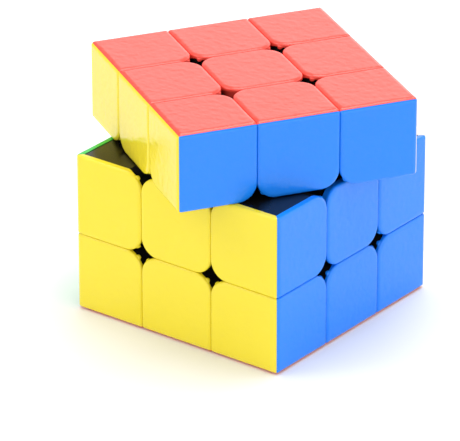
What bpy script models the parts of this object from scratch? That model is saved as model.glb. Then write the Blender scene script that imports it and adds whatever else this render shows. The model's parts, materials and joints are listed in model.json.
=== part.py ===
# A twisty puzzle cube: core, sprung centres, edges and corners, as an assembly of separate pieces.
# The cube stands on its orange side, with its base's centre at the origin. Its yellow side faces -Y.
# Lengths are in millimetres; assemble() turns them into metres when it places a piece.

import math

import bmesh
import bpy
from mathutils import Matrix, Vector

SIZE = 56.0            # the whole cube, along an edge
MIDDLE = 19.2          # a middle slice; the two outer layers share the rest
TOP_TURN = -31.5       # degrees that the top layer is turned, seen from above
GAP = 0.3              # clearance between any two pieces
REACH = 16.5           # radius, about each face axis, that the feet run inside
DIP = 5.0              # the feet reach in to this distance from the centre planes
WALL = 1.4             # moulded wall of the hollow edges and corners
FACE_EDGE = 0.9        # rounding along the outlines of the coloured faces
INNER_ROUND = 4.0      # rounding of a face's inner corners, where four pieces meet
INNER_DEPTH = 5.0      # depth of that rounding below the face

CAP = 2.7              # thickness of a centre's cap
POCKET_WALL = 2.1      # wall left round the pocket that a cap presses into
POCKET_DEPTH = 5.5     # depth of that pocket
PLUG = 3.0             # length of the cap's plug, below the cap
PLUG_JOIN = 0.5        # how far the plug's solid runs on into the cap
CAP_HOLLOW = 0.9       # how far the plug's hollow goes on into the cap
STALK = 4.6            # radius of a centre's stalk
STALK_END = 7.2        # centre of the cube to the stalk's inner end
STALK_JOIN = 3.0       # how far the stalk's solid runs on past the shelf
SHELF = 9.5            # where the spring sits in the stalk
BORE = 3.4             # radius of the stalk's bore, around the spring
BORE_SINK = 4.0        # top of the centre body to the top of the bore, inside the pocket

CHANNEL = (11.2, 14.2)    # hole through an edge's floor into its hollow, inner and outer side
CHANNEL_HALF = 2.6     # half the hole's length
CHANNEL_SINK = 6.0     # face of the cube to the top of the hole's cut
FOOT_HALF = 4.7        # half the width of an edge's foot
NECK = 13.8            # far side of the notch in a corner shell, which takes the foot's neck
STEM = 1.5             # radius of the corner foot's stem, inside the shell
STEM_ENDS = (14.0, 30.0)  # centre of the cube to the stem's two ends

CORE_HUB = 3.7         # half the width of the core's hub
CORE_RADIUS = 3.1      # radius of a core arm
CORE_ARM = 6.8         # centre of the cube to the end of an arm
CORE_HOLE = 2.4        # centre of the cube to the bottom of a screw hole
SCREW = 1.5            # radius of the tension screw
SCREW_TIP = 2.7        # centre of the cube to its tip
SCREW_HEAD = 2.9       # radius of its head
HEAD_SEAT = 16.9       # underside of the head
HEAD_HEIGHT = 2.0
HEAD_JOIN = 0.5        # how far the shank's solid runs on into the head
RECESS = 1.3           # corner radius of the hexagonal recess in the head
RECESS_DEPTH = 1.1
WASHER = 0.5           # thickness of the thrust washer
COIL = 2.6             # middle radius of the spring
WIRE = 0.3             # radius of its wire
COIL_TURNS = 4
COIL_STEPS = 10        # points along one turn

BEYOND = 1.0           # how far a cutter runs past the surface that it cuts
TOUCH = 0.01           # within this distance, a point lies in a face of the cube
ROUND = 44             # sides of the large turned cuts
STALK_ROUND = 24       # sides of the stalk and its bore
SMALL_ROUND = 16       # sides of the small round pieces
CORE_ROUND = 12        # sides of the core's arms and holes, and of the stems
FACE_TILT = 0.72       # least cosine between a coloured facet and its side of the cube
SHARP = 32             # degrees; a sharper fold is left as an edge in the shading

HALF = SIZE / 2
CUT = MIDDLE / 2
NEAR = CUT + GAP / 2           # inner faces of the edge and corner blocks
SLICE = CUT - GAP / 2          # half width of a middle piece
CLEAR = GAP / 2

FACE_COLOURS = {"red": "#e8424a", "orange": "#f47a20", "yellow": "#fadc3c",
                "blue": "#3f86ea", "white": "#f2f2ee", "green": "#3fae4a"}


def wipe_scene():
    for thing in list(bpy.data.objects):
        bpy.data.objects.remove(thing)


def linear(hex_colour):
    values = [int(hex_colour[i:i + 2], 16) / 255 for i in (1, 3, 5)]
    return [v / 12.92 if v <= 0.04045 else ((v + 0.055) / 1.055) ** 2.4 for v in values] + [1.0]


def material(name, hex_colour, roughness, metallic=0.0):
    made = bpy.data.materials.new(name)
    made.use_nodes = True
    shader = made.node_tree.nodes["Principled BSDF"]
    shader.inputs["Base Color"].default_value = linear(hex_colour)
    shader.inputs["Roughness"].default_value = roughness
    shader.inputs["Metallic"].default_value = metallic
    made.diffuse_color = linear(hex_colour)
    return made


def mesh_of(shape, name="shape"):
    mesh = bpy.data.meshes.new(name)
    shape.to_mesh(mesh)
    shape.free()
    return mesh


def box(low, high):
    shape = bmesh.new()
    bmesh.ops.create_cube(shape, size=1)
    size = Vector(high) - Vector(low)
    middle = (Vector(high) + Vector(low)) / 2
    spot = Matrix.Translation(middle) @ Matrix.Diagonal((*size, 1))
    bmesh.ops.transform(shape, verts=shape.verts, matrix=spot)
    return mesh_of(shape)


def rod(radius, low, high, sides=SMALL_ROUND, along=Matrix()):
    """A cylinder from low to high on the Z axis, then turned by `along`."""
    shape = bmesh.new()
    spot = along @ Matrix.Translation((0, 0, (low + high) / 2))
    bmesh.ops.create_cone(shape, cap_ends=True, segments=sides, radius1=radius, radius2=radius,
                          depth=high - low, matrix=spot)
    return mesh_of(shape)


def combined(blank, *steps):
    """The mesh left after a chain of Boolean steps on a blank, each (operation, tool)."""
    work = bpy.data.objects.new("blank", blank)
    bpy.context.scene.collection.objects.link(work)
    tools = []
    for operation, tool in steps:
        tools.append(bpy.data.objects.new("tool", tool))
        bpy.context.scene.collection.objects.link(tools[-1])
        step = work.modifiers.new(operation, "BOOLEAN")
        step.operation = operation
        step.object = tools[-1]
    evaluated = work.evaluated_get(bpy.context.evaluated_depsgraph_get())
    made = bpy.data.meshes.new_from_object(evaluated)
    for used in (work, *tools):
        bpy.data.objects.remove(used)
    return made


def turned(axis, degrees):
    return Matrix.Rotation(math.radians(degrees), 4, axis)


TOWARDS = {"X": turned("Y", 90), "Y": turned("X", -90), "Z": Matrix()}     # turns +Z to each axis
CYCLE = Matrix(((0, 0, 1, 0), (1, 0, 0, 0), (0, 1, 0, 0), (0, 0, 0, 1)))    # X to Y, Y to Z and Z to X


def outer_block(low, outer_axes):
    """A block out to the cube's faces on the axes given, rounded along the coloured faces' outlines."""
    high = [HALF if axis in outer_axes else -low[axis] for axis in range(3)]
    shape = bmesh.new()
    shape.from_mesh(box(low, high))
    outlines = [edge for edge in shape.edges
                if any(all(abs(v.co[axis] - HALF) < TOUCH for v in edge.verts) for axis in outer_axes)]
    bmesh.ops.bevel(shape, geom=outlines, offset=FACE_EDGE, segments=2, profile=0.5, affect="EDGES")
    return mesh_of(shape)


def inner_corner_tool(place):
    """Rounds one inner corner of a face. Unplaced, the face is at z=0 and opens from the origin to +X +Y."""
    steps = 4
    outline = [(-BEYOND, -BEYOND), (INNER_ROUND, -BEYOND)]
    for step in range(steps + 1):
        angle = math.pi / 2 * step / steps
        outline.append((INNER_ROUND * (1 - math.sin(angle)), INNER_ROUND * (1 - math.cos(angle))))
    outline.append((-BEYOND, INNER_ROUND))
    shape = bmesh.new()
    floor = shape.faces.new([shape.verts.new((x, y, -INNER_DEPTH)) for x, y in outline])
    raised = bmesh.ops.extrude_face_region(shape, geom=[floor])
    top = [item for item in raised["geom"] if isinstance(item, bmesh.types.BMVert)]
    bmesh.ops.translate(shape, verts=top, vec=(0, 0, INNER_DEPTH + BEYOND))
    bmesh.ops.recalc_face_normals(shape, faces=shape.faces)
    bmesh.ops.transform(shape, verts=shape.verts, matrix=place)
    return mesh_of(shape)


def hook_tool(axis, side):
    """The turned hollow, about one axis, in which the neighbours' feet run under a middle piece."""
    low, high = sorted((side * (DIP - CLEAR), side * HALF))
    return rod(REACH + CLEAR, low, high, ROUND, TOWARDS[axis])


def reach_tool(axis):
    return rod(REACH - CLEAR, -HALF, HALF, ROUND, TOWARDS[axis])


def rounded_block(low, high):
    """A box whose four upright edges have the rounding of the faces' inner corners."""
    shape = bmesh.new()
    shape.from_mesh(box(low, high))
    upright = [edge for edge in shape.edges if abs(edge.verts[0].co.z - edge.verts[1].co.z) > TOUCH]
    bmesh.ops.bevel(shape, geom=upright, offset=INNER_ROUND, segments=5, profile=0.5, affect="EDGES")
    return shape


def centre_body():
    """Under the cap towards +Z: a hollow block with turned undersides, on a stalk bored for the spring."""
    top = HALF - CAP - GAP
    pocket = SLICE - POCKET_WALL
    steps = [("DIFFERENCE", hook_tool(axis, side)) for axis in "XY" for side in (-1, 1)]
    steps.append(("UNION", rod(STALK, STALK_END, SHELF + STALK_JOIN, STALK_ROUND)))
    steps.append(("DIFFERENCE", rod(BORE, SHELF, top - BORE_SINK, STALK_ROUND)))
    steps.append(("DIFFERENCE", rod(SCREW + GAP, STALK_END - BEYOND, SHELF + BEYOND)))
    low = (-pocket, -pocket, top - POCKET_DEPTH)
    steps.append(("DIFFERENCE", box(low, (pocket, pocket, top + BEYOND))))
    return combined(mesh_of(rounded_block((-SLICE, -SLICE, NEAR), (SLICE, SLICE, top))), *steps)


def centre_cap():
    """The coloured lid: a rounded plate with a hollow plug that presses into the centre's pocket."""
    shape = rounded_block((-SLICE, -SLICE, HALF - CAP), (SLICE, SLICE, HALF))
    rim = [edge for edge in shape.edges if all(abs(v.co.z - HALF) < TOUCH for v in edge.verts)]
    bmesh.ops.bevel(shape, geom=rim, offset=FACE_EDGE, segments=2, profile=0.5, affect="EDGES")
    under = HALF - CAP
    plug = SLICE - POCKET_WALL - GAP
    hollow = plug - WALL
    block = box((-plug, -plug, under - PLUG), (plug, plug, under + PLUG_JOIN))
    cut = box((-hollow, -hollow, under - PLUG - BEYOND), (hollow, hollow, under + CAP_HOLLOW))
    return combined(mesh_of(shape), ("UNION", block), ("DIFFERENCE", cut))


def edge_piece():
    """Between +X and +Z: a hollow block and the foot that hooks under the two centres beside it."""
    foot = combined(box((DIP + CLEAR, -FOOT_HALF, DIP + CLEAR), (REACH, FOOT_HALF, REACH)),
                    ("INTERSECT", reach_tool("X")), ("INTERSECT", reach_tool("Z")))
    low = (NEAR + WALL, WALL - SLICE, NEAR + WALL)
    inside = combined(box(low, (HALF - WALL, SLICE - WALL, HALF - WALL)),
                      ("DIFFERENCE", rod(REACH + WALL, -HALF, HALF, ROUND, TOWARDS["Y"])))
    steps = [("DIFFERENCE", hook_tool("Y", side)) for side in (-1, 1)]
    steps.append(("UNION", foot))
    steps.append(("DIFFERENCE", inside))
    low = (CHANNEL[0], -CHANNEL_HALF, DIP - BEYOND)
    steps.append(("DIFFERENCE", box(low, (CHANNEL[1], CHANNEL_HALF, HALF - CHANNEL_SINK))))
    for side in (-1, 1):
        upper = Matrix.Translation((NEAR, side * SLICE, HALF)) @ turned("Z", 0 if side < 0 else -90)
        outer = Matrix.Translation((HALF, side * SLICE, NEAR)) @ CYCLE @ turned("Z", 0 if side < 0 else 90)
        steps.append(("DIFFERENCE", inner_corner_tool(upper)))
        steps.append(("DIFFERENCE", inner_corner_tool(outer)))
    return combined(outer_block((NEAR, -SLICE, NEAR), (0, 2)), *steps)


def corner_shell():
    """Towards +X +Y +Z: a hollow block, open through a notch at its inner corner."""
    steps = [("DIFFERENCE", box([NEAR + WALL] * 3, [HALF - WALL] * 3)),
             ("DIFFERENCE", box([NEAR - BEYOND] * 3, [NECK] * 3))]
    for swing in (Matrix(), CYCLE, CYCLE @ CYCLE):
        steps.append(("DIFFERENCE", inner_corner_tool(swing @ Matrix.Translation((NEAR, NEAR, HALF)))))
    return combined(outer_block((NEAR,) * 3, (0, 1, 2)), *steps)


def corner_foot():
    """Runs under three edges, with a neck in the shell's notch and a stem inside the shell."""
    neck = box([DIP] * 3, [NECK - GAP] * 3)
    shell_space = combined(box([NEAR - GAP] * 3, [HALF] * 3), ("DIFFERENCE", neck))
    diagonal = Vector((0, 0, 1)).rotation_difference(Vector((1, 1, 1))).to_matrix().to_4x4()
    steps = [("INTERSECT", reach_tool(axis)) for axis in "XYZ"]
    steps.append(("DIFFERENCE", shell_space))
    steps.append(("UNION", rod(STEM, *STEM_ENDS, CORE_ROUND, diagonal)))
    return combined(box([DIP + CLEAR] * 3, [REACH] * 3), *steps)


def core():
    """Six arms, each with a blind hole for its screw."""
    steps = [("UNION", rod(CORE_RADIUS, -CORE_ARM, CORE_ARM, CORE_ROUND, TOWARDS[axis])) for axis in "XYZ"]
    for axis in "XYZ":
        for side in (-1, 1):
            low, high = sorted((side * CORE_HOLE, side * (CORE_ARM + BEYOND)))
            steps.append(("DIFFERENCE", rod(SCREW + GAP, low, high, CORE_ROUND, TOWARDS[axis])))
    return combined(box([-CORE_HUB] * 3, [CORE_HUB] * 3), *steps)


def screw():
    """Along +Z, with its tip in the core and a hexagonal recess in its head."""
    head_top = HEAD_SEAT + HEAD_HEIGHT
    hexagon = 6
    return combined(rod(SCREW_HEAD, HEAD_SEAT, head_top),
                    ("UNION", rod(SCREW, SCREW_TIP, HEAD_SEAT + HEAD_JOIN)),
                    ("DIFFERENCE", rod(RECESS, head_top - RECESS_DEPTH, head_top + BEYOND, hexagon)))


def washer():
    top = HEAD_SEAT - GAP
    return combined(rod(BORE - GAP, top - WASHER, top),
                    ("DIFFERENCE", rod(SCREW + GAP, top - WASHER - BEYOND, top + BEYOND)))


def spring():
    """A helix from the stalk's shelf up to the washer, swept with a round wire."""
    low = SHELF + GAP + WIRE
    high = HEAD_SEAT - 2 * GAP - WASHER - WIRE
    count = COIL_TURNS * COIL_STEPS + 1
    line = bpy.data.curves.new("spring", "CURVE")
    line.dimensions = "3D"
    line.bevel_depth = WIRE
    line.bevel_resolution = 1
    line.use_fill_caps = True
    path = line.splines.new("POLY")
    path.points.add(count - 1)
    for index, point in enumerate(path.points):
        angle = 2 * math.pi * index / COIL_STEPS
        height = low + (high - low) * index / (count - 1)
        point.co = (COIL * math.cos(angle), COIL * math.sin(angle), height, 1)
    helper = bpy.data.objects.new("coil", line)
    bpy.context.scene.collection.objects.link(helper)
    made = bpy.data.meshes.new_from_object(helper.evaluated_get(bpy.context.evaluated_depsgraph_get()))
    bpy.data.objects.remove(helper)
    weld = bmesh.new()
    weld.from_mesh(made)
    bmesh.ops.remove_doubles(weld, verts=weld.verts, dist=0.001)
    bmesh.ops.recalc_face_normals(weld, faces=weld.faces)
    weld.to_mesh(made)
    weld.free()
    return made


def colour_faces(mesh):
    """Slot 0 is the black body; slots 1 to 3 are the coloured faces towards +X, +Y and +Z."""
    for face in mesh.polygons:
        for axis in range(3):
            if face.center[axis] > HALF - FACE_EDGE and face.normal[axis] > FACE_TILT:
                face.material_index = axis + 1


def finish_mesh(mesh, name):
    """The mesh in metres, shaded smooth across its shallow folds."""
    mesh.name = name
    mesh.transform(Matrix.Scale(0.001, 4))
    mesh.materials.clear()
    mesh.shade_smooth()
    mesh.set_sharp_from_angle(angle=math.radians(SHARP))
    return mesh


def place(name, mesh, parent, spin, slots):
    """One piece, turned into its place about the cube's centre. The slots are its materials, body first."""
    piece = bpy.data.objects.new(name, mesh)
    bpy.context.scene.collection.objects.link(piece)
    piece.parent = parent
    piece.matrix_local = spin
    while len(mesh.materials) < len(slots):
        mesh.materials.append(None)
    for slot, chosen in zip(piece.material_slots, slots):
        slot.link = "OBJECT"
        slot.material = chosen
    return piece


def layer_empty(name, degrees=0.0):
    """An empty at the cube's centre, on the axis that its layer turns about."""
    empty = bpy.data.objects.new(name, None)
    bpy.context.scene.collection.objects.link(empty)
    empty.matrix_world = Matrix.Translation((0, 0, HALF / 1000)) @ turned("Z", degrees)
    return empty


def colour_at(direction):
    """The colour of the face that a direction from the cube's centre meets."""
    x, y, z = (round(value) for value in direction)
    if z:
        return "red" if z > 0 else "orange"
    return {(0, -1): "yellow", (1, 0): "blue", (0, 1): "white", (-1, 0): "green"}[(x, y)]


def assemble():
    wipe_scene()
    black = material("black_abs", "#141416", 0.3)
    colours = {name: material(name + "_abs", value, 0.35) for name, value in FACE_COLOURS.items()}
    steel = material("zinc_plated_steel", "#b9bcc0", 0.3, 1.0)
    nylon = material("white_nylon", "#e6e4dc", 0.5)

    shapes = {"centre_body": centre_body(), "centre_cap": centre_cap(), "edge": edge_piece(),
              "corner_shell": corner_shell(), "corner_foot": corner_foot()}
    for name in ("edge", "corner_shell"):
        colour_faces(shapes[name])
    small = {"screw": screw(), "washer": washer(), "spring": spring()}
    for name, mesh in (shapes | small).items():
        finish_mesh(mesh, name)

    layers = {1: layer_empty("top_layer", TOP_TURN),
              0: layer_empty("middle"),
              -1: layer_empty("bottom_layer")}
    place("core", finish_mesh(core(), "core"), layers[0], Matrix(), [black])

    def tinted(spin, axes):
        """The body's black, then the colour that each of the piece's own axes faces once it is placed."""
        facing = {"X": (1, 0, 0), "Y": (0, 1, 0), "Z": (0, 0, 1)}
        return [colour_at(spin.to_3x3() @ Vector(facing[axis])) if axis in axes else None for axis in "XYZ"]

    def slots_of(names):
        return [black] + [colours.get(name, black) for name in names]

    for quarter in range(4):
        spin = turned("Z", 90 * quarter)
        for height, tilt in ((1, 0), (0, 90), (-1, 180)):
            way = spin @ turned("X", tilt)
            names = tinted(way, "XZ")
            own = sorted((name for name in names if name), key=lambda name: name not in ("red", "orange"))
            place("edge_" + "_".join(own), shapes["edge"], layers[height], way, slots_of(names))
            if height:
                names = tinted(way, "XYZ")
                own = sorted(names, key=lambda name: name not in ("red", "orange"))
                label = "_".join(own)
                shell = shapes["corner_shell"]
                place("corner_shell_" + label, shell, layers[height], way, slots_of(names))
                place("corner_foot_" + label, shapes["corner_foot"], layers[height], way, [black])

    upright = [(1, Matrix()), (-1, turned("X", 180))]
    sideways = [(0, turned("Z", 90 * quarter) @ turned("X", 90)) for quarter in range(4)]
    for height, way in upright + sideways:
        colour = colour_at(way.to_3x3() @ Vector((0, 0, 1)))
        layer = layers[height]
        place("centre_body_" + colour, shapes["centre_body"], layer, way, [black])
        place("centre_cap_" + colour, shapes["centre_cap"], layer, way, [colours[colour]])
        place("tension_spring_" + colour, small["spring"], layer, way, [steel])
        place("thrust_washer_" + colour, small["washer"], layer, way, [nylon])
        place("tension_screw_" + colour, small["screw"], layer, way, [steel])


assemble()
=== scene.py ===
import json
import math
import bmesh
import bpy
from mathutils import Matrix, Vector


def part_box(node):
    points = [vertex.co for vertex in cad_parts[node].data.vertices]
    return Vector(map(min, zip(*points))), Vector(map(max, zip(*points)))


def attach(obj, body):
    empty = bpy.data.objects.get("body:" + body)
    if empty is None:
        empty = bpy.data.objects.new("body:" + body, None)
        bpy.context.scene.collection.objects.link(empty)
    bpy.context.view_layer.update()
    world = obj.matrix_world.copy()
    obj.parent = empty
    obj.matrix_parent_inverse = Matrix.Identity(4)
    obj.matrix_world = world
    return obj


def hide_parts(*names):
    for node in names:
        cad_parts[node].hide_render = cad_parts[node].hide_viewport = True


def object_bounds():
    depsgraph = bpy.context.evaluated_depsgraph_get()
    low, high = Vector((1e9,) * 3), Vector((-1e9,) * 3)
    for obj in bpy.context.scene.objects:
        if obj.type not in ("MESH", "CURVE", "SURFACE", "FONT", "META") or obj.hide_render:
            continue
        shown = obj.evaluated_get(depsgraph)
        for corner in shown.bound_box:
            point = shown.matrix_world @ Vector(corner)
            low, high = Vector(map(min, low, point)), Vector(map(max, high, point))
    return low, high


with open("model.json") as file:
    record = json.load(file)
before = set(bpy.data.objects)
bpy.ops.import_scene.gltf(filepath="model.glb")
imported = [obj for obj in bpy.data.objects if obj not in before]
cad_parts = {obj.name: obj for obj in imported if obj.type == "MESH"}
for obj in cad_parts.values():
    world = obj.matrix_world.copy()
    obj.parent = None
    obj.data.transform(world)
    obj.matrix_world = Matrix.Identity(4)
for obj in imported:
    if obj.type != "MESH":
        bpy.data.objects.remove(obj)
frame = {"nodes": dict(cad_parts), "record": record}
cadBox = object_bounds()
print("frame loaded", len(frame["nodes"]))

# A cube puzzle with coloured tiles on black blocks, round a sprung core. The top layer is part way round.
# Lengths below are in millimetres about the cube's centre; toRow() takes a finished mesh to the row frame.
mmPerMetre = 1000
cube = {
    "half": (cadBox[1].z - cadBox[0].z) * mmPerMetre / 2,                    # centre to a coloured face
    "slice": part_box("centre_cap_blue")[1].y * mmPerMetre,                    # half width of a middle piece
    "near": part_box("corner_shell_orange_blue_yellow")[0].x * mmPerMetre,     # inner sides of outer blocks
    "topTurn": -31.5,                                                        # degrees, top layer at rest
}

directions = {
    "red": Vector((0, 0, 1)), "orange": Vector((0, 0, -1)), "yellow": Vector((0, -1, 0)),
    "blue": Vector((1, 0, 0)), "white": Vector((0, 1, 0)), "green": Vector((-1, 0, 0)),
}

bodyOf = {}
for bodyName, members in frame["record"]["behaviour"]["bodies"].items():
    for member in members:
        bodyOf[member] = bodyName


def smoothStep(value):
    value = min(1.0, max(0.0, value))
    return value * value * (3 - 2 * value)


def blendOf(a, b, share):
    return a + (b - a) * share


finish = {
    "red": "#f25042", "orange": "#f26a14", "yellow": "#ead62d",
    "blue": "#1580f0", "white": "#dcdcd7", "green": "#2cbf48",
    "black": "#0a0a0a",
}


def linearColour(hexValue):
    channels = [int(hexValue[i:i + 2], 16) / 255 for i in (1, 3, 5)]
    return [c / 12.92 if c <= 0.04045 else ((c + 0.055) / 1.055) ** 2.4 for c in channels] + [1.0]


def perMm(millimetres):                  # texture scale for a pattern that repeats at this size
    return mmPerMetre / millimetres


def addNode(tree, kind, settings=None, inputs=None, links=None):
    node = tree.nodes.new(kind)
    for name, value in (settings or {}).items():
        setattr(node, name, value)
    for name, value in (inputs or {}).items():
        node.inputs[name].default_value = value
    for name, (source, output) in (links or {}).items():
        tree.links.new(source.outputs[output], node.inputs[name])
    return node


def newMaterial(name):
    made = bpy.data.materials.new(name)
    made.use_nodes = True
    tree = made.node_tree
    tree.nodes.clear()
    output = addNode(tree, "ShaderNodeOutputMaterial")
    return made, tree, output


# Injection-moulded ABS: glossy, with reflections that waver from the faint orange peel off the mould.
mouldedSkin = {
    "peelSize": 1.5, "peelHeight": 0.09,      # mm; gives the wavy edge of each reflection
    "grainSize": 0.5, "grainHeight": 0.011,   # mm; gives the fine mottle on the flats
    "smearSize": 9.0, "shade": 0.02,          # mm and share; slow change of gloss and colour over a tile
    "roughness": (0.14, 0.21),
    "ior": 1.5,
}
# The black inner parts come from a plainer tool: duller, with soft reflections of the tiles beside them.
bodySkin = {**mouldedSkin, "roughness": (0.2, 0.3), "peelHeight": 0.012}
# Their recesses get a matt copy of the black with its reflection turned down. This is painted shade, so that
# the openings between the tiles stay dark.
paintedShadeSkin = {**bodySkin, "roughness": (0.6, 0.7), "ior": 1.12}
noiseSpan = (0.3, 0.7)                        # where most values of a noise texture lie


def mouldedAbs(name, hexValue, skin):
    made, tree, output = newMaterial(name)
    place = addNode(tree, "ShaderNodeTexCoord")
    at = {"Vector": (place, "Object")}
    smear = addNode(tree, "ShaderNodeTexNoise", inputs={"Scale": perMm(skin["smearSize"]), "Detail": 3.0},
                    links=at)
    peel = addNode(tree, "ShaderNodeTexNoise", inputs={"Scale": perMm(skin["peelSize"]), "Detail": 1.0},
                   links=at)
    grain = addNode(tree, "ShaderNodeTexNoise", inputs={"Scale": perMm(skin["grainSize"]), "Detail": 2.0},
                    links=at)
    colour = addNode(tree, "ShaderNodeMix", {"data_type": "RGBA"}, links={"Factor": (smear, "Fac")})
    base = linearColour(hexValue)[:3]
    colour.inputs["A"].default_value = [c * (1 - skin["shade"]) for c in base] + [1]
    colour.inputs["B"].default_value = [min(1, c * (1 + skin["shade"])) for c in base] + [1]
    low, high = skin["roughness"]
    satin = addNode(tree, "ShaderNodeMapRange",
                    inputs={"From Min": noiseSpan[0], "From Max": noiseSpan[1],
                            "To Min": low, "To Max": high},
                    links={"Value": (smear, "Fac")})
    coarse = addNode(tree, "ShaderNodeBump", inputs={"Distance": skin["peelHeight"] / mmPerMetre},
                     links={"Height": (peel, "Fac")})
    fine = addNode(tree, "ShaderNodeBump", inputs={"Distance": skin["grainHeight"] / mmPerMetre},
                   links={"Height": (grain, "Fac"), "Normal": (coarse, "Normal")})
    shader = addNode(tree, "ShaderNodeBsdfPrincipled", inputs={"IOR": skin["ior"]},
                     links={"Base Color": (colour, "Result"), "Roughness": (satin, "Result"),
                            "Normal": (fine, "Normal")})
    tree.links.new(shader.outputs["BSDF"], output.inputs["Surface"])
    return made


absOf = {
    name: mouldedAbs(name + "_moulded_abs", value, bodySkin if name == "black" else mouldedSkin)
    for name, value in finish.items()
}
# the same black with its reflection turned down: painted shade for the recesses and inner parts
paintedShadeAbs = mouldedAbs("black_matt_moulded_abs", finish["black"], paintedShadeSkin)

# Zinc-plated screw steel: a bright grey with faint turning rings round the shank and head.
screwSteel = {
    "colour": "#b4b7bb", "roughness": (0.22, 0.38),
    "ringSize": 5.0, "ringHeight": 0.004,     # mm; drawn far coarser than real turning marks, so they show
    "blotchSize": 1.6,                        # mm; cloudy dulling of the zinc
}


def platedSteel():
    made, tree, output = newMaterial("zinc_plated_steel")
    place = addNode(tree, "ShaderNodeTexCoord")
    blotch = addNode(tree, "ShaderNodeTexNoise",
                     inputs={"Scale": perMm(screwSteel["blotchSize"]), "Detail": 2.0},
                     links={"Vector": (place, "Object")})
    low, high = screwSteel["roughness"]
    dull = addNode(tree, "ShaderNodeMapRange", inputs={"To Min": low, "To Max": high},
                   links={"Value": (blotch, "Fac")})
    ring = addNode(tree, "ShaderNodeTexWave", {"wave_type": "RINGS", "rings_direction": "Z"},
                   inputs={"Scale": perMm(screwSteel["ringSize"]), "Distortion": 1.0},
                   links={"Vector": (place, "Object")})
    rings = addNode(tree, "ShaderNodeBump", inputs={"Distance": screwSteel["ringHeight"] / mmPerMetre},
                    links={"Height": (ring, "Fac")})
    shader = addNode(tree, "ShaderNodeBsdfPrincipled",
                     inputs={"Base Color": linearColour(screwSteel["colour"]), "Metallic": 1.0},
                     links={"Roughness": (dull, "Result"), "Normal": (rings, "Normal")})
    tree.links.new(shader.outputs["BSDF"], output.inputs["Surface"])
    return made


# Drawn spring wire: darker steel, with the fine scratches that the die leaves.
wireSteel = {
    "colour": "#8f9296", "roughness": (0.28, 0.45),
    "scratchSize": 0.12, "scratchHeight": 0.003,     # mm
}


def drawnWire():
    made, tree, output = newMaterial("drawn_spring_steel")
    place = addNode(tree, "ShaderNodeTexCoord")
    scratch = addNode(tree, "ShaderNodeTexNoise",
                      inputs={"Scale": perMm(wireSteel["scratchSize"]), "Detail": 4.0},
                      links={"Vector": (place, "Object")})
    low, high = wireSteel["roughness"]
    dull = addNode(tree, "ShaderNodeMapRange", inputs={"To Min": low, "To Max": high},
                   links={"Value": (scratch, "Fac")})
    relief = addNode(tree, "ShaderNodeBump", inputs={"Distance": wireSteel["scratchHeight"] / mmPerMetre},
                     links={"Height": (scratch, "Fac")})
    shader = addNode(tree, "ShaderNodeBsdfPrincipled",
                     inputs={"Base Color": linearColour(wireSteel["colour"]), "Metallic": 1.0},
                     links={"Roughness": (dull, "Result"), "Normal": (relief, "Normal")})
    tree.links.new(shader.outputs["BSDF"], output.inputs["Surface"])
    return made


# Moulded nylon washer: waxy off-white that lets a little light into it.
washerNylon = {
    "colour": "#dedbd0", "roughness": (0.4, 0.55),
    "clouding": 1.1,                          # mm; faint changes of its gloss
    "depth": 0.4, "share": 0.2,               # mm that light goes in, and how much of it does
}


def mouldedNylon():
    made, tree, output = newMaterial("moulded_nylon")
    place = addNode(tree, "ShaderNodeTexCoord")
    cloud = addNode(tree, "ShaderNodeTexNoise",
                    inputs={"Scale": perMm(washerNylon["clouding"]), "Detail": 2.0},
                    links={"Vector": (place, "Object")})
    low, high = washerNylon["roughness"]
    dull = addNode(tree, "ShaderNodeMapRange", inputs={"To Min": low, "To Max": high},
                   links={"Value": (cloud, "Fac")})
    shader = addNode(tree, "ShaderNodeBsdfPrincipled",
                     inputs={"Base Color": linearColour(washerNylon["colour"]),
                             "Subsurface Weight": washerNylon["share"],
                             "Subsurface Scale": washerNylon["depth"] / mmPerMetre},
                     links={"Roughness": (dull, "Result")})
    tree.links.new(shader.outputs["BSDF"], output.inputs["Surface"])
    return made


innerMaterials = {
    "tension_screw": platedSteel(), "tension_spring": drawnWire(), "thrust_washer": mouldedNylon(),
}
print("materials made")

tile = {
    "seamFillet": (0.95, 0.55),          # how far in and how deep the soft edge goes along a seam
    "edgeRound": 1.35,                   # rounding where two coloured faces meet
    "holeRound": 4.35,                   # rounding of an inner corner, where four tiles leave a hole
    "outerRound": 0.9,                   # rounding of a tile's other corners
    "seatRound": 0.05,                   # and of its seat's
    "seamDepth": 1.5, "holeDepth": 0.95, # how deep the coloured side goes, along a seam and in a hole
    "leastWall": 0.1,                    # how much of that side is upright at the least
    "underside": 2.4,                    # how deep the tile's tongue goes into its seat
    "ease": 0.13,                        # the tiles nearly touch, closer than the blocks under them
    "rim": 0.45,                         # black wall round the tile's tongue
    "joint": 0.02,                       # half the hairline between two colours
    "support": 0.12,                     # a narrow flat ring that keeps the shading of the face even
    "spare": 0.03,                       # play between a tile and its seat
    "filletSteps": 9, "holeSteps": 20, "cornerSteps": 6, "sideSteps": 5,
    "weld": 0.002, "least": 0.001,       # points this close are one, and edges this short go
}
# The small nub in each hole: how far it stands out, half its width, and how deep it ends.
nub = {
    "out": 0.3, "reach": 0.5, "depth": 1.35,
    "swell": ((0.15, 0.072), (0.8, 0.168), (1.0, 0.264)),   # share of the way out, at depths under the edge
    "height": 0.36,                      # least depth of its end under the edge
    "squareness": 4, "blend": 0.35,      # how flat its top is, and the share of an arc that leads up to it
}


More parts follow.
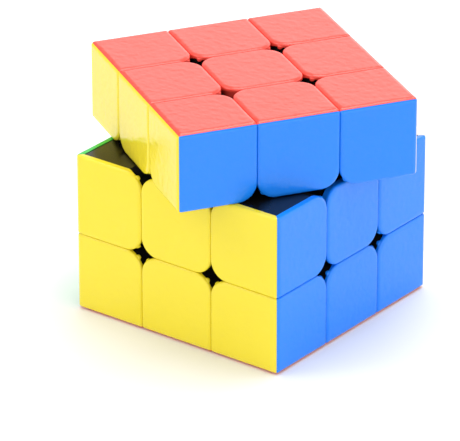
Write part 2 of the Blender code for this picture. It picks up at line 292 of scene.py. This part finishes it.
def outlineOf(corners, mitres, nubs, outerRound):
    # corners run anticlockwise as (x, y, isHole); mitres says for each side after a corner if it is mitred
    arcs = []
    for index, (x, y, isHole) in enumerate(corners):
        corner = Vector((x, y))
        before = Vector(corners[index - 1][:2])
        after = Vector(corners[(index + 1) % len(corners)][:2])
        inward, onward = (corner - before).normalized(), (after - corner).normalized()
        normalIn, normalOut = Vector((inward.y, -inward.x)), Vector((onward.y, -onward.x))
        radius = tile["holeRound"] if isHole else outerRound
        steps = tile["holeSteps"] if isHole else tile["cornerSteps"]
        arc = []
        for step in range(steps + 1):
            share = step / steps
            angle = share * math.pi / 2
            fromMiddle = (share - 0.5) * radius * math.pi / 2
            swelling = math.exp(-(fromMiddle / nub["reach"]) ** nub["squareness"])
            arc.append({
                "corner": corner, "normals": (normalIn, normalOut), "radius": radius,
                "normal": normalIn * math.cos(angle) + normalOut * math.sin(angle),
                "ends": (mitres[index - 1], mitres[index]),
                "mitre": blendOf(mitres[index - 1], mitres[index], smoothStep(share)),
                "hole": smoothStep(min(share, 1 - share) / nub["blend"]) if isHole else 0.0,
                "nub": swelling if isHole and nubs else 0.0,
            })
        arcs.append(arc)
    return arcs


def placeOf(sample, levelOf):
    # one point of an arc: each side keeps its own inset, and what is left of the radius rounds the corner
    insets = [levelOf({**sample, "mitre": mitre})[0] for mitre in sample["ends"]]
    left = max(sample["radius"] - sum(insets) / 2, 0.0)
    normalIn, normalOut = sample["normals"]
    centre = sample["corner"] - normalIn * (insets[0] + left) - normalOut * (insets[1] + left)
    return centre + sample["normal"] * left


def tileColumn(sample):
    # the edge profile at one outline point, from the flat face down to the underside: (how far in, how deep)
    width = blendOf(tile["seamFillet"][0], tile["edgeRound"], sample["mitre"])
    drop = blendOf(tile["seamFillet"][1], tile["edgeRound"], sample["mitre"])
    column = []
    for step in range(tile["filletSteps"] + 1):
        angle = math.pi / 2 * step / tile["filletSteps"]
        column.append((width * (1 - math.sin(angle)), drop * (1 - math.cos(angle))))
    plain = max(blendOf(tile["seamDepth"], tile["holeDepth"], sample["hole"]), drop + tile["leastWall"])
    depth = max(blendOf(plain, nub["depth"], sample["nub"]), drop + nub["height"])
    out = -nub["out"] * sample["nub"]
    for share, under in nub["swell"]:
        column.append((out * share, drop + under))
    column.append((out, depth))
    column.append((tile["rim"], depth))
    column.append((tile["rim"], tile["underside"]))
    return column


def seatColumn(sample):
    # the recess in the black body that takes the tile, a hair wider than the tile all round
    spare = tile["spare"]
    above = -1.0                         # the cutter starts clear of the face
    plain = blendOf(tile["seamDepth"], tile["holeDepth"], sample["hole"])
    depth = blendOf(plain, nub["depth"], sample["nub"]) + spare
    out = -nub["out"] * sample["nub"] - spare
    rim = blendOf(tile["rim"], 0.0, sample["mitre"]) - spare
    return [(-spare, above), (-spare, tile["seamFillet"][1]), (out, tile["seamFillet"][1] + spare),
            (out, depth), (rim, depth + spare), (rim, tile["underside"] + spare)]


def tileShape(corners, mitres, columnOf, nubs=True, cuts=(), outerRound=tile["outerRound"]):
    half = cube["half"]
    arcs = outlineOf(corners, mitres, nubs, outerRound)
    levels = len(columnOf(arcs[0][0]))
    columns = []
    for arc in arcs:
        for sample in arc:
            column = columnOf(sample)
            line = []
            for level in range(levels):
                spot = placeOf(sample, lambda at: columnOf(at)[level])
                line.append(Vector((spot.x, spot.y, half - column[level][1])))
            columns.append(line)
        columns.append(None)
    filled = []
    for index, line in enumerate(columns):
        if line is not None:
            filled.append(line)
            continue
        start, end = columns[index - 1], columns[(index + 1) % len(columns)]
        for step in range(1, tile["sideSteps"]):
            filled.append([a.lerp(b, step / tile["sideSteps"]) for a, b in zip(start, end)])
    shape = bmesh.new()
    walls = [[shape.verts.new(spot) for spot in line] for line in filled]
    for line, following in zip(walls, walls[1:] + walls[:1]):
        for level in range(levels - 1):
            shape.faces.new((line[level], line[level + 1], following[level + 1], following[level]))
    middle = sum((Vector(c[:2]) for c in corners), Vector((0, 0))) / len(corners)
    lid = []
    for line in walls:
        rimPoint = line[0].co
        towards = Vector((middle.x, middle.y, rimPoint.z)) - rimPoint
        lid.append(shape.verts.new(rimPoint + towards.normalized() * tile["support"]))
    for index, line in enumerate(walls):
        following = (index + 1) % len(walls)
        shape.faces.new((lid[index], line[0], walls[following][0], lid[following]))
    shape.faces.new(lid)
    shape.faces.new([line[-1] for line in reversed(walls)])
    bmesh.ops.remove_doubles(shape, verts=shape.verts, dist=tile["weld"])
    bmesh.ops.dissolve_degenerate(shape, edges=shape.edges, dist=tile["least"])
    for normal in cuts:
        everything = shape.verts[:] + shape.edges[:] + shape.faces[:]
        cut = bmesh.ops.bisect_plane(shape, geom=everything, plane_co=(0, 0, tile["joint"]),
                                     plane_no=Vector(normal).normalized(), clear_outer=True)
        rim = [item for item in cut["geom_cut"] if isinstance(item, bmesh.types.BMEdge)]
        bmesh.ops.holes_fill(shape, edges=rim, sides=0)
    bmesh.ops.recalc_face_normals(shape, faces=shape.faces)
    return shape


def meshOf(shape, name):
    mesh = bpy.data.meshes.new(name)
    shape.to_mesh(mesh)
    shape.free()
    return mesh


def edgeOutline():
    near, half, side = cube["near"] - tile["ease"], cube["half"], cube["slice"] + tile["ease"]
    return [(near, -side, True), (half, -side, False), (half, side, False), (near, side, True)], (0, 1, 0, 0)


def cornerOutline():
    near, half = cube["near"] - tile["ease"], cube["half"]
    return [(near, near, True), (half, near, False), (half, half, False), (near, half, False)], (0, 1, 1, 0)


def centreOutline():
    side = cube["slice"] + tile["ease"]
    return [(-side, -side, True), (side, -side, True), (side, side, True), (-side, side, True)], (0, 0, 0, 0)


swap = Matrix.Rotation(math.pi, 4, Vector((1, 0, 1)))                        # +Z face to +X face of an edge
cycle = Matrix(((0, 0, 1, 0), (1, 0, 0, 0), (0, 1, 0, 0), (0, 0, 0, 1)))     # X to Y, Y to Z, Z to X

tileMesh = {
    "edge": meshOf(tileShape(*edgeOutline(), tileColumn, cuts=[(1, 0, -1)]), "edge_tile"),
    "corner": meshOf(tileShape(*cornerOutline(), tileColumn, cuts=[(1, 0, -1), (0, 1, -1)]), "corner_tile"),
    "centre": meshOf(tileShape(*centreOutline(), tileColumn, nubs=False), "centre_tile"),
}
seatMesh = {
    "edge": meshOf(tileShape(*edgeOutline(), seatColumn, outerRound=tile["seatRound"]), "edge_seat"),
    "corner": meshOf(tileShape(*cornerOutline(), seatColumn, outerRound=tile["seatRound"]), "corner_seat"),
}
print("tiles shaped")


def turnTo(*facing):
    # the rotation that takes the prototype's own axes to these directions
    if len(facing) == 2:
        x, z = facing
        y = z.cross(x)
    else:
        x, y, z = facing
    return Matrix((x, y, z)).transposed().to_4x4()


def layerOf(names):
    turn = cube["topTurn"] if "red" in names else 0
    return Matrix.Translation((0, 0, cube["half"])) @ Matrix.Rotation(math.radians(turn), 4, "Z")


def toRow(mesh, way):
    made = mesh.copy()
    made.transform(Matrix.Scale(1 / mmPerMetre, 4) @ way)
    return made


sharpFold = math.radians(38)             # a sharper fold stays an edge in the shading


def addPiece(name, mesh, materials, node, replaced=False):
    piece = bpy.data.objects.new(name, mesh)
    bpy.context.scene.collection.objects.link(piece)
    for used in materials:
        mesh.materials.append(used)
    mesh.shade_smooth()
    mesh.set_sharp_from_angle(angle=sharpFold)
    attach(piece, bodyOf[node])
    if replaced:
        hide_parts(node)


isFlat = 0.999                           # a facet whose normal leans this much on an axis lies across it


def carved(node, way, seats, glossyAxis=None):
    # the node's own block, without the seats of its tiles; only its flats across glossyAxis keep a gloss,
    # and the rest take the dimmed black of painted shade
    mesh = frame["nodes"][node].data.copy()
    mesh.transform((Matrix.Scale(1 / mmPerMetre, 4) @ way).inverted())
    weld = bmesh.new()
    weld.from_mesh(mesh)
    bmesh.ops.remove_doubles(weld, verts=weld.verts, dist=tile["weld"])
    weld.to_mesh(mesh)
    weld.free()
    block = bpy.data.objects.new("block", mesh)
    bpy.context.scene.collection.objects.link(block)
    cutters = []
    for seat, turn in seats:
        cutter = bpy.data.objects.new("seat", seat.copy())
        cutter.data.transform(turn)
        bpy.context.scene.collection.objects.link(cutter)
        cutters.append(cutter)
        step = block.modifiers.new("seat", "BOOLEAN")
        step.operation = "DIFFERENCE"
        step.object = cutter
    evaluated = block.evaluated_get(bpy.context.evaluated_depsgraph_get())
    made = bpy.data.meshes.new_from_object(evaluated)
    for used in (block, *cutters):
        bpy.data.objects.remove(used)
    made.materials.clear()
    for face in made.polygons:
        glossy = glossyAxis is not None and abs(face.normal[glossyAxis]) > isFlat
        face.material_index = 0 if glossy else 1
    return made


def namesIn(node, start):
    return node[len(start):].split("_")


def edgeWay(names):
    first, second = (directions[name] for name in names)
    return layerOf(names) @ turnTo(first, second), names


def cornerWay(names):
    a, b, c = names
    if directions[a].cross(directions[b]).dot(directions[c]) < 0:
        b, c = c, b
    return layerOf(names) @ turnTo(directions[a], directions[b], directions[c]), (a, b, c)


edgeNodes = sorted(name for name in frame["nodes"] if name.startswith("edge_"))
cornerNodes = sorted(name for name in frame["nodes"] if name.startswith("corner_shell_"))
capNodes = sorted(name for name in frame["nodes"] if name.startswith("centre_cap_"))

firstEdge, firstCorner = edgeNodes[0], cornerNodes[0]
edgeBlock = carved(firstEdge, edgeWay(namesIn(firstEdge, "edge_"))[0],
                   [(seatMesh["edge"], Matrix()), (seatMesh["edge"], swap)], glossyAxis=1)
cornerBlock = carved(firstCorner, cornerWay(namesIn(firstCorner, "corner_shell_"))[0],
                     [(seatMesh["corner"], Matrix()), (seatMesh["corner"], cycle),
                      (seatMesh["corner"], cycle @ cycle)])
print("blocks carved", len(edgeBlock.polygons), len(cornerBlock.polygons))

# the second black is the dimmed copy: painted shade on the recesses
blackPair = [absOf["black"], paintedShadeAbs]        # running flats and recesses
for node in edgeNodes:
    way, (first, second) = edgeWay(namesIn(node, "edge_"))
    addPiece(node + "_block", toRow(edgeBlock, way), blackPair, node, replaced=True)
    for colour, turn in ((second, Matrix()), (first, swap)):
        mesh = toRow(tileMesh["edge"], way @ turn)
        addPiece(f"{node}_tile_{colour}", mesh, [absOf[colour]], node)

for node in cornerNodes:
    way, (first, second, third) = cornerWay(namesIn(node, "corner_shell_"))
    label = node.replace("_shell", "")
    addPiece(label + "_block", toRow(cornerBlock, way), blackPair, node, replaced=True)
    for colour, turn in ((third, Matrix()), (first, cycle), (second, cycle @ cycle)):
        mesh = toRow(tileMesh["corner"], way @ turn)
        addPiece(f"{label}_tile_{colour}", mesh, [absOf[colour]], node)

for node in capNodes:
    colour = namesIn(node, "centre_cap_")[0]
    facing = directions[colour]
    sideways = Vector((1, 0, 0)) if abs(facing.z) > 0.5 else Vector((0, 0, 1))
    way = layerOf([colour]) @ turnTo(sideways, facing)
    mesh = toRow(tileMesh["centre"], way)
    addPiece(f"centre_{colour}_tile", mesh, [absOf[colour]], node, replaced=True)
print("pieces placed")

# inner parts without a finish of their own take the dimmed black, which is painted shade
for name, piece in frame["nodes"].items():
    kind = name.rsplit("_", 1)[0]
    for slot in piece.material_slots:
        slot.link = "OBJECT"
        slot.material = innerMaterials.get(kind, paintedShadeAbs)
print("inner pieces finished")

studio = {
    "horizon": 1.6, "upper": 0.65,                    # brightness low and high on the studio walls
    "bandEnd": 0.42, "bandStart": 0.54,               # where the low band fades, as a share of straight up
    "darkSide": (-1.0, 0.0, 0.0), "darkShare": 0.35,  # the wall left of the cube has little light on it
    "darkEdge": (0.45, 0.95),                         # where it starts and where it is full
    # where each softbox hangs, its width and its brightness: one overhead and one front left
    "softboxes": {"overhead": ((0.0, 0.4, 2.0), 1.5, 4.0), "front": ((-1.2, -0.95, 1.6), 1.0, 2.8)},
}
# Backdrop paper: matt white, with hardly any sheen, so it shows the cube's soft shadow and tint.
floorPaper = {
    "size": 5.0, "colour": "#f1f1f1", "roughness": 0.9, "sheen": 0.2, "squares": 8,
    "drop": 0.0001,                                   # just under the tiles, so that the two never coincide
}
view = {
    "azimuth": 37.07, "elevation": 24.77, "distance": 1.0184, "roll": -0.07,
    "focalShare": 9.94, "sensor": 36.0,
    "aimRight": -0.0049, "aimUp": -0.00816,
    "clip": (0.05, 20),
}


def layFloor():
    shape = bmesh.new()
    bmesh.ops.create_grid(shape, x_segments=floorPaper["squares"], y_segments=floorPaper["squares"],
                          size=floorPaper["size"] / 2)
    floor = bpy.data.objects.new("floor", meshOf(shape, "floor"))
    floor.location.z = -floorPaper["drop"]
    bpy.context.scene.collection.objects.link(floor)
    made, tree, output = newMaterial("matt_white_paper")
    shader = addNode(tree, "ShaderNodeBsdfPrincipled",
                     inputs={"Base Color": linearColour(floorPaper["colour"]),
                             "Roughness": floorPaper["roughness"],
                             "Specular IOR Level": floorPaper["sheen"]})
    tree.links.new(shader.outputs["BSDF"], output.inputs["Surface"])
    floor.data.materials.append(made)


def lightWorld():
    world = bpy.data.worlds.new("studio")
    bpy.context.scene.world = world
    world.use_nodes = True
    tree = world.node_tree
    tree.nodes.clear()
    place = addNode(tree, "ShaderNodeTexCoord")
    parts = addNode(tree, "ShaderNodeSeparateXYZ", links={"Vector": (place, "Generated")})
    band = addNode(tree, "ShaderNodeMapRange", {"interpolation_type": "SMOOTHSTEP"},
                   inputs={"From Min": studio["bandEnd"], "From Max": studio["bandStart"],
                           "To Min": studio["horizon"], "To Max": studio["upper"]},
                   links={"Value": (parts, "Z")})
    towards = addNode(tree, "ShaderNodeVectorMath", {"operation": "DOT_PRODUCT"},
                      links={"Vector": (place, "Generated")})
    towards.inputs[1].default_value = studio["darkSide"]
    start, full = studio["darkEdge"]
    side = addNode(tree, "ShaderNodeMapRange", {"interpolation_type": "SMOOTHSTEP"},
                   inputs={"From Min": start, "From Max": full, "To Min": 1.0,
                           "To Max": studio["darkShare"]},
                   links={"Value": (towards, "Value")})
    strength = addNode(tree, "ShaderNodeMath", {"operation": "MULTIPLY"}, links={"Value": (band, "Result")})
    tree.links.new(side.outputs["Result"], strength.inputs[1])
    back = addNode(tree, "ShaderNodeBackground", inputs={"Color": (1, 1, 1, 1)},
                   links={"Strength": (strength, "Value")})
    addNode(tree, "ShaderNodeOutputWorld", links={"Surface": (back, "Background")})


def hangSoftbox(label, place, size, radiance):
    light = bpy.data.lights.new(label + "_softbox", "AREA")
    light.shape = "SQUARE"
    light.size = size
    light.energy = radiance * math.pi * size ** 2
    lamp = bpy.data.objects.new(label + "_softbox", light)
    lamp.location = place
    lamp.rotation_mode = "QUATERNION"
    lamp.rotation_quaternion = (-Vector(place)).to_track_quat("-Z", "Y")
    lamp.visible_camera = False
    bpy.context.scene.collection.objects.link(lamp)


def setCamera():
    azimuth, elevation = math.radians(view["azimuth"]), math.radians(view["elevation"])
    back = Vector((math.sin(azimuth) * math.cos(elevation), -math.cos(azimuth) * math.cos(elevation),
                   math.sin(elevation)))
    right = Vector((math.cos(azimuth), math.sin(azimuth), 0))
    up = back.cross(right)
    centre = Vector((0, 0, cube["half"] / mmPerMetre))
    aim = centre + right * view["aimRight"] + up * view["aimUp"]
    data = bpy.data.cameras.new("camera")
    data.sensor_width = view["sensor"]
    data.lens = view["focalShare"] * view["sensor"]
    data.clip_start, data.clip_end = view["clip"]
    camera = bpy.data.objects.new("camera", data)
    camera.location = centre + back * view["distance"]
    camera.rotation_mode = "QUATERNION"
    look = (aim - camera.location).to_track_quat("-Z", "Y")
    camera.rotation_quaternion = look @ Matrix.Rotation(math.radians(view["roll"]), 3, "Z").to_quaternion()
    bpy.context.scene.collection.objects.link(camera)
    bpy.context.scene.camera = camera


layFloor()
lightWorld()
for label, (place, size, radiance) in studio["softboxes"].items():
    hangSoftbox(label, place, size, radiance)
setCamera()
bpy.context.scene.view_settings.view_transform = "Standard"
print("studio set")
